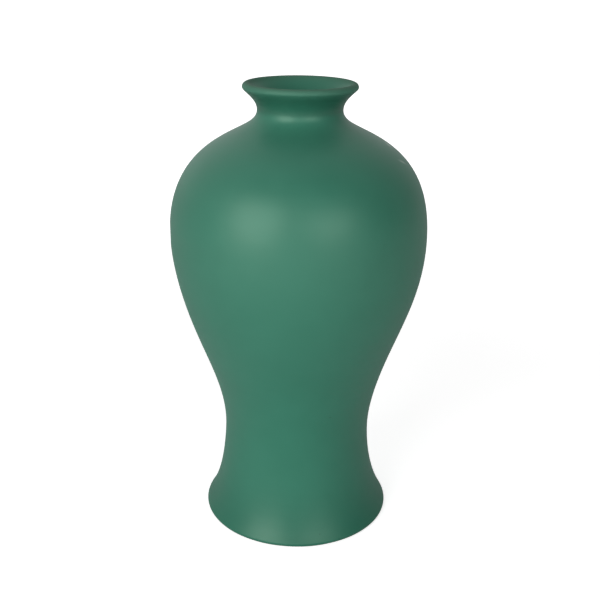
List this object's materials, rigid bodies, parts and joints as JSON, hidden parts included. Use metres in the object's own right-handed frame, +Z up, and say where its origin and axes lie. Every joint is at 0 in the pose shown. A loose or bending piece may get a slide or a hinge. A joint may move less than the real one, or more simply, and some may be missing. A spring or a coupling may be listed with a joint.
{
  "type": "meiping vase",
  "caption": "Free-standing glazed stoneware vase of meiping form: small flared mouth, round shoulders, drawn-in waist and spreading foot; holds water and stems.",
  "frame": {"origin": "centre of the standing ring, on the surface the vase stands on", "axes": "+Z up along the vase's axis of revolution; X and Y are free on a round body, and the picture looks along +Y"},
  "size_m": [0.1854, 0.1854, 0.33],
  "materials": {
    "stoneware": "bare fired stoneware, fine sandy grain",
    "luting_slip": "fired slip, matt",
    "green_glaze": "satin-matt viridian green glaze"
  },
  "bodies": {
    "root": {"foot_section": "stoneware", "lower_body_section": "stoneware", "shoulder_section": "stoneware", "mouth_section": "stoneware", "waist_luting_ring": "luting_slip", "belly_luting_ring": "luting_slip", "neck_luting_ring": "luting_slip", "outer_glaze_coat": "green_glaze", "inner_glaze_coat": "green_glaze", "base_glaze_coat": "green_glaze"}
  },
  "joints": []
}
